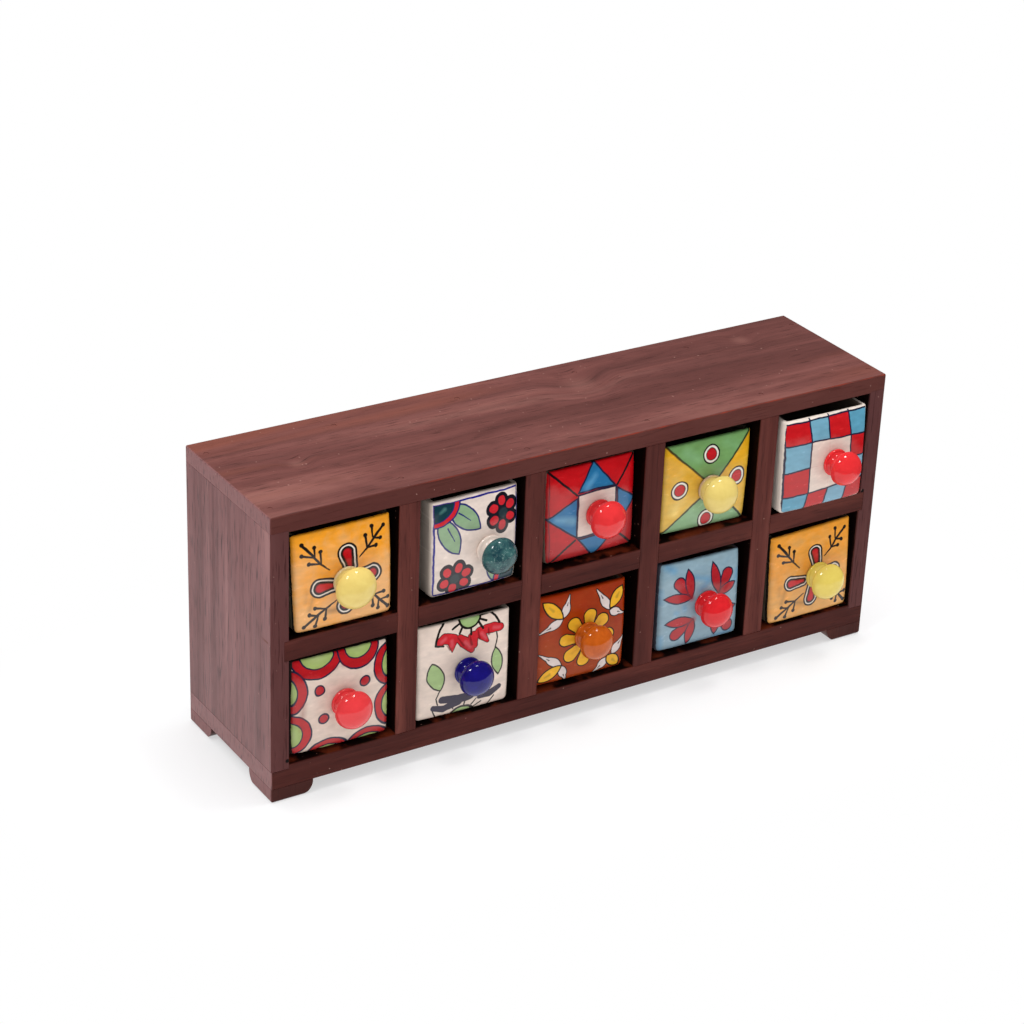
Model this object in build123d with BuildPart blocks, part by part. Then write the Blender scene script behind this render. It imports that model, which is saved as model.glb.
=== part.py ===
from build123d import *

import os
from collections import namedtuple
from math import cos, radians, sin

# Tabletop chest: a stained hardwood carcass with two rows of ceramic drawers. Sizes are millimetres.
# The front faces -Y, +X runs to the right and +Z up. The origin lies on the table, in the middle of
# the overall width and of the overall depth with the knobs.

os.makedirs("parts", exist_ok=True)

# Layout of the front
columns = 5
opening_width = 62.4
opening_height = 60.8

# Boards of the carcass
carcass_depth = 94.3
side_thickness = 10.0
divider_thickness = 12.0
top_thickness = 9.7
shelf_thickness = 11.3
base_thickness = 12.4
panel_thickness = 4.0
arris_radius = 0.9
seam_chamfer = 0.25

# Joints between the boards
top_housing = 0.9
base_housing = 2.2
shelf_housing = 2.5
panel_rebate = 4.0
lap_clearance = 0.1

# Corner feet
foot_height = 8.1
foot_length = 24.0
foot_depth = 25.0
foot_end_radius = 7.5
foot_wear_radius = 1.8

# Nails and pins
nail_radius = 0.7
nail_head_radius = 1.4
nail_head_thickness = 0.8
nail_head_sink = 0.2
nail_length = 24.0
nail_edge_distance = 10.0
foot_nail_length = 15.0
foot_nail_near = 8.5
foot_nail_far = 14.0
pin_radius = 0.45
pin_head_radius = 1.0
pin_head_thickness = 0.5
pin_head_sink = 0.2
pin_length = 11.0
nail_clearance = 0.05

# Ceramic drawers
drawer_running_gap = 0.2
drawer_rear_room = 6.3
drawer_least_gap = 0.3
drawer_wall = 3.2
drawer_corner_radius = 3.0
drawer_base_radius = 2.8
drawer_inner_radius = 2.4
drawer_rim_radius = 1.1

# Ceramic knobs
knob_foot_radius = 7.9
knob_foot_edge = 2.4
knob_neck_radius = 5.4
knob_neck_height = 4.8
knob_crown_height = 9.8
knob_crown_rise = 7.4
knob_crown_under = 3.4
knob_throat_angle = 52.0
knob_fullness = 0.55

# Studs and nuts that hold the knobs
stud_radius = 2.0
stud_in_knob = 9.0
stud_spare = 1.8
stud_chamfer = 0.4
stud_hole_clearance = 0.6
knob_bore_clearance = 0.1
nut_across_flats = 7.0
nut_thickness = 3.2
nut_flange_radius = 4.6
nut_flange_thickness = 1.0
nut_bore_clearance = 0.05

# The drawers, from left to right. Each is formed by hand and so has its own gap on either side and
# above it, its own knob, and its own place for it to the right of and below the middle of the face.
# The recess is how far the face stands behind the carcass, as hands left it: a drawer that stands
# proud has a negative one. The lean is how far the drawer lies to the right of the middle of its
# opening, as a share of its free gap.
Drawer = namedtuple("Drawer", "side_gap head_gap recess lean knob_radius knob_right knob_below")
upper_drawers = [
    Drawer(2.8, 4.4, 1.2, 0.16, 11.2, 1.3, 2.3),
    Drawer(5.0, 5.0, 2.5, 0.64, 10.1, 8.6, 5.2),
    Drawer(3.2, 5.2, 5.5, 0.69, 10.6, 3.9, 2.0),
    Drawer(2.8, 6.6, 4.0, 0.32, 10.8, 1.9, 2.3),
    Drawer(3.0, 4.6, -4.0, 0.07, 9.8, 6.5, 1.8),
]
lower_drawers = [
    Drawer(2.8, 4.4, 3.0, 0.12, 10.5, 1.9, 1.5),
    Drawer(2.8, 4.2, 1.5, -0.72, 10.0, 1.6, 2.0),
    Drawer(2.8, 5.6, 2.8, -0.72, 9.9, 2.7, 0.6),
    Drawer(4.2, 5.8, 3.4, 0.41, 10.1, 4.0, 1.7),
    Drawer(3.4, 4.4, 0.5, 0.45, 10.5, 4.2, 1.7),
]

# Overall sizes and levels
inside_width = columns * opening_width + (columns - 1) * divider_thickness
inside_height = 2 * opening_height + shelf_thickness
inside_depth = carcass_depth - panel_thickness
carcass_width = inside_width + 2 * side_thickness
base_bottom = foot_height
base_top = base_bottom + base_thickness
shelf_bottom = base_top + opening_height
shelf_top = shelf_bottom + shelf_thickness
top_bottom = base_top + inside_height
top_top = top_bottom + top_thickness
side_bottom = base_top - base_housing
side_top = top_bottom + top_housing
panel_width = inside_width + 2 * panel_rebate
panel_bottom = base_top - panel_rebate
panel_top = top_bottom + panel_rebate

# Places along the depth. The knob that stands furthest forward sets the overall depth.
knob_length = knob_crown_height + knob_crown_rise
knob_reach = knob_length - min(drawer.recess for drawer in upper_drawers + lower_drawers)
front_y = (knob_reach - carcass_depth) / 2
back_y = front_y + carcass_depth
middle_y = front_y + carcass_depth / 2
inside_middle_y = front_y + inside_depth / 2
panel_y = back_y - panel_thickness / 2
lap_depth = inside_depth / 2

# Places along the width
pitch = opening_width + divider_thickness
side_x = (carcass_width - side_thickness) / 2
divider_places = [(i - columns / 2) * pitch for i in range(1, columns)]
opening_places = [(i - (columns - 1) / 2) * pitch for i in range(columns)]

drawer_depth = inside_depth - drawer_rear_room

# Nails through the top and base boards: two into the end of every upright
nail_rows = [front_y + nail_edge_distance, front_y + inside_depth - nail_edge_distance]
nail_places = [(x, y) for x in [-side_x, *divider_places, side_x] for y in nail_rows]
top_nail_planes = [Plane((x, y, top_top - nail_head_sink)) for x, y in nail_places]
base_nail_z = base_bottom + nail_head_sink
base_nail_planes = [Plane((x, y, base_nail_z), z_dir=(0, 0, -1)) for x, y in nail_places]

# Nails through the feet: two in each, on a line across the corner
foot_nail_places = [
    (hand * (carcass_width / 2 - in_x), middle_y + end * (carcass_depth / 2 - in_y))
    for hand in (-1, 1)
    for end in (-1, 1)
    for in_x, in_y in ((foot_nail_near, foot_nail_far), (foot_nail_far, foot_nail_near))
]
foot_nail_planes = [Plane((x, y, nail_head_sink), z_dir=(0, 0, -1)) for x, y in foot_nail_places]

# Pins round the back panel, into the shoulder of its rebate
pin_line_x = (inside_width + panel_rebate) / 2
pin_lines_z = (base_top - panel_rebate / 2, top_bottom + panel_rebate / 2)
pin_places = [(x, z) for x in opening_places[::2] for z in pin_lines_z]
pin_places += [(hand * pin_line_x, base_top + k * inside_height / 4) for hand in (-1, 1) for k in (1, 3)]
pin_y = back_y - pin_head_sink
pin_planes = [Plane((x, pin_y, z), x_dir=(1, 0, 0), z_dir=(0, 1, 0)) for x, z in pin_places]

nail_size = (nail_length, nail_radius, nail_head_radius, nail_head_thickness)
foot_nail_size = (foot_nail_length, nail_radius, nail_head_radius, nail_head_thickness)
pin_size = (pin_length, pin_radius, pin_head_radius, pin_head_thickness)


def save(piece, name):
    """Labels a finished piece and writes its file."""
    piece.part.label = name
    export_step(piece.part, f"parts/{name}.step")


def drill(planes, size, sink):
    """Cuts sunk holes for nails of one size, driven from these planes, into the piece being built."""
    length, radius, head_radius, head_thickness = size
    with Locations(*[plane.offset(sink) for plane in planes]):
        CounterBoreHole(
            radius + nail_clearance,
            head_radius + nail_clearance,
            sink + head_thickness + nail_clearance,
            sink + length + nail_clearance,
        )


def drill_board_nails():
    """Cuts the holes of all nails through the top and base boards."""
    drill(top_nail_planes, nail_size, nail_head_sink)
    drill(base_nail_planes, nail_size, nail_head_sink)


def cut_panel_rebate():
    """Cuts the space of the back panel."""
    with BuildSketch(Plane.XY.offset(panel_bottom)) as rebate:
        with Locations((0, panel_y)):
            Rectangle(panel_width, panel_thickness)
    extrude(rebate.sketch, amount=panel_top - panel_bottom, mode=Mode.SUBTRACT)


def cut_side_housings(level, depth):
    """Cuts the shallow housings for the two sides, upwards from a level."""
    with BuildSketch(Plane.XY.offset(level)) as housings:
        with Locations((-side_x, middle_y), (side_x, middle_y)):
            Rectangle(side_thickness, carcass_depth)
    extrude(housings.sketch, amount=depth, mode=Mode.SUBTRACT)


# Top board, over the sides
with BuildPart() as top_board:
    with BuildSketch(Plane.XY.offset(top_bottom)):
        with Locations((0, middle_y)):
            Rectangle(carcass_width, carcass_depth)
    extrude(amount=top_thickness)
    fillet(top_board.edges().filter_by(Axis.Z) + top_board.edges().group_by(Axis.Z)[-1], arris_radius)
    chamfer(top_board.faces().sort_by(Axis.Z)[0].edges(), seam_chamfer)
    cut_side_housings(top_bottom, top_housing)
    cut_panel_rebate()
    drill(top_nail_planes, nail_size, nail_head_sink)
    drill(pin_planes, pin_size, pin_head_sink)
save(top_board, "top_board")

# Base board, under the sides
with BuildPart() as base_board:
    with BuildSketch(Plane.XY.offset(base_bottom)):
        with Locations((0, middle_y)):
            Rectangle(carcass_width, carcass_depth)
    extrude(amount=base_thickness)
    fillet(base_board.edges().filter_by(Axis.Z), arris_radius)
    chamfer(base_board.faces().filter_by(Axis.Z).edges(), seam_chamfer)
    cut_side_housings(side_bottom, base_housing)
    cut_panel_rebate()
    drill(base_nail_planes, nail_size, nail_head_sink)
    drill(foot_nail_planes, foot_nail_size, nail_head_sink)
    drill(pin_planes, pin_size, pin_head_sink)
save(base_board, "base_board")


def build_side(name, hand):
    """An end board. Hand is -1 on the left and 1 on the right."""
    with BuildPart() as side:
        with BuildSketch(Plane.XY.offset(side_bottom)):
            with Locations((hand * side_x, middle_y)):
                Rectangle(side_thickness, carcass_depth)
        extrude(amount=side_top - side_bottom)
        outer_face = side.faces().sort_by(Axis.X)[0 if hand < 0 else -1]
        fillet(outer_face.edges().filter_by(Axis.Z), arris_radius)
        chamfer(side.faces().filter_by(Axis.Z).edges(), seam_chamfer)
        with BuildSketch(Plane.XY.offset(shelf_bottom)):
            with Locations((hand * (inside_width + shelf_housing) / 2, inside_middle_y)):
                Rectangle(shelf_housing, inside_depth)
        extrude(amount=shelf_thickness, mode=Mode.SUBTRACT)
        with BuildSketch(Plane.XY.offset(side_bottom)):
            with Locations((hand * (inside_width + panel_rebate) / 2, panel_y)):
                Rectangle(panel_rebate, panel_thickness)
        extrude(amount=side_top - side_bottom, mode=Mode.SUBTRACT)
        drill_board_nails()
        drill(pin_planes, pin_size, pin_head_sink)
    save(side, name)


build_side("left_side", -1)
build_side("right_side", 1)

# Shelf between the rows, slotted from the front for the dividers
with BuildPart() as shelf:
    with BuildSketch(Plane.XY.offset(shelf_bottom)):
        with Locations((0, inside_middle_y)):
            Rectangle(inside_width + 2 * shelf_housing, inside_depth)
        with Locations(*[(x, front_y + lap_depth / 2) for x in divider_places]):
            Rectangle(divider_thickness + lap_clearance, lap_depth, mode=Mode.SUBTRACT)
    extrude(amount=shelf_thickness)
    chamfer(shelf.faces().filter_by(Axis.Y).group_by(Axis.Y)[0].edges(), seam_chamfer)
save(shelf, "shelf")


def build_divider(name, x):
    """An upright, full height at the front and slotted over the shelf behind it."""
    with BuildPart() as divider:
        with BuildSketch(Plane.XY.offset(base_top)):
            with Locations((x, inside_middle_y)):
                Rectangle(divider_thickness, inside_depth)
        extrude(amount=inside_height)
        with BuildSketch(Plane.XY.offset(shelf_bottom)):
            with Locations((x, front_y + (lap_depth + inside_depth) / 2)):
                Rectangle(divider_thickness, inside_depth - lap_depth)
        extrude(amount=shelf_thickness, mode=Mode.SUBTRACT)
        chamfer(divider.faces().sort_by(Axis.Y)[0].edges(), seam_chamfer)
        drill_board_nails()
    save(divider, name)


for number, divider_x in enumerate(divider_places, start=1):
    build_divider(f"divider_{number}", divider_x)

# Back panel, let into the rebates
with BuildPart() as back_panel:
    with BuildSketch(Plane.XY.offset(panel_bottom)):
        with Locations((0, panel_y)):
            Rectangle(panel_width, panel_thickness)
    extrude(amount=panel_top - panel_bottom)
    chamfer(back_panel.faces().sort_by(Axis.Y)[-1].edges(), seam_chamfer)
    drill(pin_planes, pin_size, pin_head_sink)
save(back_panel, "back_panel")


def build_foot(name, hand, end):
    """A corner block. Hand is -1 on the left and 1 on the right, end is -1 in front and 1 behind."""
    corner = Vector(hand * carcass_width / 2, middle_y + end * carcass_depth / 2, 0)
    front_view = Plane(corner, x_dir=(-hand, 0, 0), z_dir=(0, hand, 0))
    side_view = Plane(corner, x_dir=(0, -end, 0), z_dir=(-end, 0, 0))
    with BuildPart() as foot:
        with BuildSketch(front_view):
            foot_profile(foot_length)
        extrude(amount=foot_depth, both=True)
        with BuildSketch(side_view):
            foot_profile(foot_depth)
        extrude(amount=foot_length, both=True, mode=Mode.INTERSECT)
        fillet(foot.edges().filter_by(Axis.Z).sort_by_distance(corner)[0], arris_radius)
        drill(foot_nail_planes, foot_nail_size, nail_head_sink)
    save(foot, name)


def foot_profile(length):
    """A foot's outline seen square on: worn at the outer corner, a quarter round at the inner end."""
    with BuildLine() as outline:
        Line((0, foot_height), (0, foot_wear_radius))
        JernArc((0, foot_wear_radius), (0, -1), foot_wear_radius, 90)
        Line((foot_wear_radius, 0), (length - foot_end_radius, 0))
        JernArc((length - foot_end_radius, 0), (1, 0), foot_end_radius, 90)
        Line((length, foot_end_radius), (length, foot_height))
        Line((length, foot_height), (0, foot_height))
    make_face(outline.edges())


for end_name, end in (("front", -1), ("back", 1)):
    for hand_name, hand in (("left", -1), ("right", 1)):
        build_foot(f"foot_{end_name}_{hand_name}", hand, end)


def build_nails(name, planes, size):
    """A group of like nails, one driven from each plane."""
    length, radius, head_radius, head_thickness = size
    with BuildPart() as nail:
        with BuildSketch(Plane.XZ):
            with BuildLine():
                Polyline(
                    (0, 0),
                    (head_radius, 0),
                    (head_radius, -head_thickness),
                    (radius, -head_thickness),
                    (radius, 2 * radius - length),
                    (0, -length),
                    close=True,
                )
            make_face()
        revolve(axis=Axis.Z)
    with BuildPart() as group:
        with Locations(*planes):
            add(nail.part)
    save(group, name)


build_nails("top_board_nails", top_nail_planes, nail_size)
build_nails("base_board_nails", base_nail_planes, nail_size)
build_nails("foot_nails", foot_nail_planes, foot_nail_size)
build_nails("back_panel_pins", pin_planes, pin_size)


def build_drawer_box(name, width, height, seat, pull):
    """An open ceramic box on its seat plane, with a hole through its front at the pull plane."""
    with BuildPart() as box:
        with BuildSketch(seat):
            RectangleRounded(width, drawer_depth, drawer_corner_radius)
        extrude(amount=height)
        fillet(box.faces().sort_by(Axis.Z)[0].edges(), drawer_base_radius)
        with BuildSketch(seat.offset(drawer_wall)):
            RectangleRounded(
                width - 2 * drawer_wall,
                drawer_depth - 2 * drawer_wall,
                drawer_inner_radius,
            )
        extrude(amount=height, mode=Mode.SUBTRACT)
        fillet(box.faces().filter_by(Axis.Z).sort_by(Axis.Z)[1].edges(), drawer_inner_radius)
        fillet(box.faces().sort_by(Axis.Z)[-1].edges(), min(drawer_rim_radius, 0.4 * drawer_wall))
        with BuildSketch(pull):
            Circle(stud_radius + stud_hole_clearance)
        extrude(amount=-2 * drawer_wall, mode=Mode.SUBTRACT)
    save(box, name)


def build_knob(name, knob_radius, pull):
    """A mushroom knob with a flared foot, turned about the pull plane's axis and bored from behind."""
    throat_x = knob_radius * cos(radians(knob_throat_angle))
    throat_y = knob_crown_height - knob_crown_under * sin(radians(knob_throat_angle))
    foot_flat = knob_foot_radius - knob_foot_edge / 2
    bore_radius = stud_radius + knob_bore_clearance
    bore_depth = stud_in_knob + knob_bore_clearance
    with BuildPart() as knob:
        with BuildSketch(Plane(pull.origin, x_dir=(1, 0, 0), z_dir=(0, 0, -1))):
            with BuildLine():
                Line((bore_radius, 0), (foot_flat, 0))
                ThreePointArc(
                    (foot_flat, 0),
                    (knob_foot_radius, knob_foot_edge / 2),
                    (foot_flat, knob_foot_edge),
                )
                ThreePointArc(
                    (foot_flat, knob_foot_edge),
                    (knob_neck_radius, knob_neck_height),
                    (throat_x, throat_y),
                )
                EllipticalCenterArc(
                    (0, knob_crown_height),
                    knob_radius,
                    knob_crown_under,
                    start_angle=-knob_throat_angle,
                    arc_size=knob_throat_angle,
                )
                Bezier(
                    (knob_radius, knob_crown_height),
                    (knob_radius, knob_crown_height + knob_fullness * knob_crown_rise),
                    (knob_fullness * knob_radius, knob_length),
                    (0, knob_length),
                )
                Line((0, knob_length), (0, bore_depth))
                Line((0, bore_depth), (bore_radius, bore_depth))
                Line((bore_radius, bore_depth), (bore_radius, 0))
            make_face()
        revolve(axis=Axis(pull.origin, pull.z_dir))
    save(knob, name)


def build_stud(name, pull):
    """A stud from inside the knob, through the drawer front and the nut."""
    inner_end = drawer_wall + nut_flange_thickness + nut_thickness + stud_spare
    with BuildPart() as stud:
        with BuildSketch(pull.offset(-inner_end)):
            Circle(stud_radius)
        extrude(amount=inner_end + stud_in_knob)
        chamfer(stud.edges().filter_by(GeomType.CIRCLE), stud_chamfer)
    save(stud, name)


def build_nut(name, pull):
    """A flanged nut on the inner face of the drawer front."""
    inner_face = pull.offset(-drawer_wall)
    with BuildPart() as nut:
        with BuildSketch(inner_face):
            Circle(nut_flange_radius)
        extrude(amount=-nut_flange_thickness)
        with BuildSketch(inner_face.offset(-nut_flange_thickness)):
            RegularPolygon(nut_across_flats / 2, 6, major_radius=False)
        extrude(amount=-nut_thickness)
        with BuildSketch(inner_face):
            Circle(stud_radius + nut_bore_clearance)
        extrude(amount=-nut_flange_thickness - nut_thickness, mode=Mode.SUBTRACT)
    save(nut, name)


drawer_number = 0
for floor_z, row in ((shelf_top, upper_drawers), (base_top, lower_drawers)):
    for opening_x, drawer in zip(opening_places, row):
        drawer_number += 1
        drawer_width = opening_width - 2 * drawer.side_gap
        drawer_height = opening_height - drawer.head_gap - drawer_running_gap
        drawer_x = opening_x + drawer.lean * (drawer.side_gap - drawer_least_gap)
        drawer_z = floor_z + drawer_running_gap
        face_y = front_y + drawer.recess
        seat = Plane((drawer_x, face_y + drawer_depth / 2, drawer_z))
        knob_x = drawer_x + drawer.knob_right
        knob_z = drawer_z + drawer_height / 2 - drawer.knob_below
        pull = Plane((knob_x, face_y, knob_z), x_dir=(1, 0, 0), z_dir=(0, -1, 0))
        build_drawer_box(f"drawer_{drawer_number}_box", drawer_width, drawer_height, seat, pull)
        build_knob(f"drawer_{drawer_number}_knob", drawer.knob_radius, pull)
        build_stud(f"drawer_{drawer_number}_stud", pull)
        build_nut(f"drawer_{drawer_number}_nut", pull)
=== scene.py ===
from collections import namedtuple
from functools import reduce
import math

import bpy
from mathutils import Matrix, Vector, noise


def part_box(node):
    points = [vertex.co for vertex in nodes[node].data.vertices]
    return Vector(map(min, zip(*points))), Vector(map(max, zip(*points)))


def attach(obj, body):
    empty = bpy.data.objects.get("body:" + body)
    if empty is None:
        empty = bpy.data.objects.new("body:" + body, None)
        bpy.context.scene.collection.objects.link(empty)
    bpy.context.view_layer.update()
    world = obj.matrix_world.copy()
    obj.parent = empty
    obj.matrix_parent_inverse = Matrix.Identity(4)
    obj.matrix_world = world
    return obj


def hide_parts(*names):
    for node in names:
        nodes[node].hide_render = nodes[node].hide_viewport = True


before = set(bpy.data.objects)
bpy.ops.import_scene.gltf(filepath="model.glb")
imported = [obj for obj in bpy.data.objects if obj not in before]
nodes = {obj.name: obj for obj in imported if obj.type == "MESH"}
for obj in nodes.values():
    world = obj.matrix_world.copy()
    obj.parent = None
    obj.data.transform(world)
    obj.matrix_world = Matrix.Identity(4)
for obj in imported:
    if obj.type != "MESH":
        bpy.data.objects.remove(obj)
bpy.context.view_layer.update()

# Without a seed the noise is shifted by the clock, and each run would give the drawers other walls.
NOISE_SEED = 7
noise.seed_set(NOISE_SEED)

MM = 0.001

# Painting plane of every drawer front, in millimetres from its middle.
FACE_HALF_WIDTH = 28.4
FACE_HALF_HEIGHT = 28.1

# Hand-made drawers aren't square. Each corner of a front is given as (across, up) from the middle
# of its floor edge, in millimetres: top left, top right, bottom right, bottom left.
FRONT_CORNERS = {
    1: ((-29.4, 55.9), (27.0, 56.6), (28.5, 0.0), (-26.6, 0.5)),
    2: ((-26.4, 55.4), (26.0, 55.5), (26.1, 0.9), (-25.3, 0.1)),
    3: ((-28.8, 55.3), (26.9, 55.7), (28.5, 1.1), (-26.9, 0.4)),
    4: ((-28.7, 54.0), (28.6, 53.8), (28.0, 0.0), (-28.4, 1.6)),
    5: ((-29.0, 56.1), (27.4, 55.6), (28.9, 0.2), (-27.2, 0.5)),
    6: ((-28.5, 56.8), (28.0, 56.0), (28.8, 0.1), (-28.4, 1.3)),
    7: ((-28.9, 57.0), (28.3, 55.8), (28.7, 0.0), (-28.1, 1.4)),
    8: ((-28.9, 55.6), (28.1, 54.4), (28.7, 0.0), (-28.2, 1.5)),
    9: ((-27.2, 55.2), (25.8, 53.9), (28.0, 0.3), (-26.5, 1.1)),
    10: ((-29.2, 55.5), (26.2, 57.2), (29.0, 0.6), (-26.2, 0.4)),
}


def rgb(code, value=1.0):
    """Linear colour from an sRGB hex code."""
    out = []
    for i in (0, 2, 4):
        c = int(code[i:i + 2], 16) / 255
        c = c / 12.92 if c <= 0.04045 else ((c + 0.055) / 1.055) ** 2.4
        out.append(c * value)
    return (*out, 1.0)


def math_method(operation):
    """A method of Maker that adds one math node."""
    return lambda make, a, b=0.0, c=0.0: make.add("ShaderNodeMath", a, b, c, operation=operation)


class Maker:
    """Adds shader nodes to a tree. Each method returns the socket that holds its result."""

    plus, minus, times = math_method("ADD"), math_method("SUBTRACT"), math_method("MULTIPLY")
    times_plus, absolute = math_method("MULTIPLY_ADD"), math_method("ABSOLUTE")
    larger, smaller = math_method("MAXIMUM"), math_method("MINIMUM")

    def __init__(self, tree, colour=None):
        self.tree = tree
        self.colour = colour

    def put(self, socket, value):
        if isinstance(value, bpy.types.NodeSocket):
            self.tree.links.new(value, socket)
        else:
            socket.default_value = value

    def add(self, kind, *inputs, **settings):
        made = self.tree.nodes.new(kind)
        for key, value in settings.items():
            setattr(made, key, value)
        for i, value in enumerate(inputs):
            self.put(made.inputs[i], value)
        return made.outputs[0]

    def vector(self, operation, a, b=None, scale=None):
        made = self.tree.nodes.new("ShaderNodeVectorMath")
        made.operation = operation
        for i, value in ((0, a), (1, b), ("Scale", scale)):
            if value is not None:
                self.put(made.inputs[i], value)
        return made.outputs["Value" if operation in ("DOT_PRODUCT", "DISTANCE", "LENGTH") else "Vector"]

    def parts(self, vector):
        return self.add("ShaderNodeSeparateXYZ", vector).node.outputs

    def ramp(self, value, low, high, to_low=0.0, to_high=1.0, smooth=False):
        """The value carried from one range to another, and held at its ends."""
        curve = "SMOOTHSTEP" if smooth else "LINEAR"
        ends = (low, high, to_low, to_high)
        return self.add("ShaderNodeMapRange", value, *ends, clamp=True, interpolation_type=curve)

    def noise(self, where, scale, detail=2.0, rough=0.5, distortion=0.0, colour=False):
        made = self.tree.nodes.new("ShaderNodeTexNoise")
        names = ("Vector", "Scale", "Detail", "Roughness", "Distortion")
        for name, value in zip(names, (where, scale, detail, rough, distortion)):
            self.put(made.inputs[name], value)
        return made.outputs["Color" if colour else "Fac"]

    def mix(self, factor, a, b):
        made = self.tree.nodes.new("ShaderNodeMix")
        made.data_type = "RGBA"
        for i, value in ((0, factor), (6, a), (7, b)):
            self.put(made.inputs[i], value)
        return made.outputs[2]

    def stain(self, factor, colour):
        """Lay one more colour over what is there, as far as the factor says."""
        self.colour = self.mix(factor, self.colour, colour)

    def dress(self, shader, relief=None, **values):
        """Give the shader its colour and other inputs, and a bump of (height, strength, distance)."""
        for name, value in {"Base_Color": self.colour, **values}.items():
            self.put(shader.inputs[name.replace("_", " ")], value)
        if relief:
            bump = self.tree.nodes.new("ShaderNodeBump")
            for name, value in zip(("Height", "Strength", "Distance"), relief):
                self.put(bump.inputs[name], value)
            self.put(shader.inputs["Normal"], bump.outputs[0])


def new_material(name):
    material = bpy.data.materials.new(name)
    material.use_nodes = True
    make = Maker(material.node_tree)
    here = make.tree.nodes.new("ShaderNodeTexCoord").outputs["Object"]
    return material, make, make.tree.nodes["Principled BSDF"], here


def set_material(item, material):
    item.data.materials.clear()
    item.data.materials.append(material)


def new_object(name, data):
    item = bpy.data.objects.new(name, data)
    bpy.context.collection.objects.link(item)
    return item


# How far each pattern of the wood is drawn out along the grain.
FIGURE_SHARE, LINE_SHARE, PORE_SHARE, MOTTLE_SHARE = 0.09, 0.03, 0.05, 0.35
PORE_SCALE = 1300.0

WARM_WOOD = rgb("8a4c3a")
BARE_WOOD = rgb("6a2c18")
WORN_WOOD = rgb("8e3322")
PAINTED_SHEEN_VEIL = rgb("9a787c")
END_PORE = rgb("241412")
# Painted shade for the insides of the openings
PAINTED_SHADE_BLACK = rgb("0a0403")
NAIL_HOLE = rgb("0c0706")
DUST = rgb("c79a8c")


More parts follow.
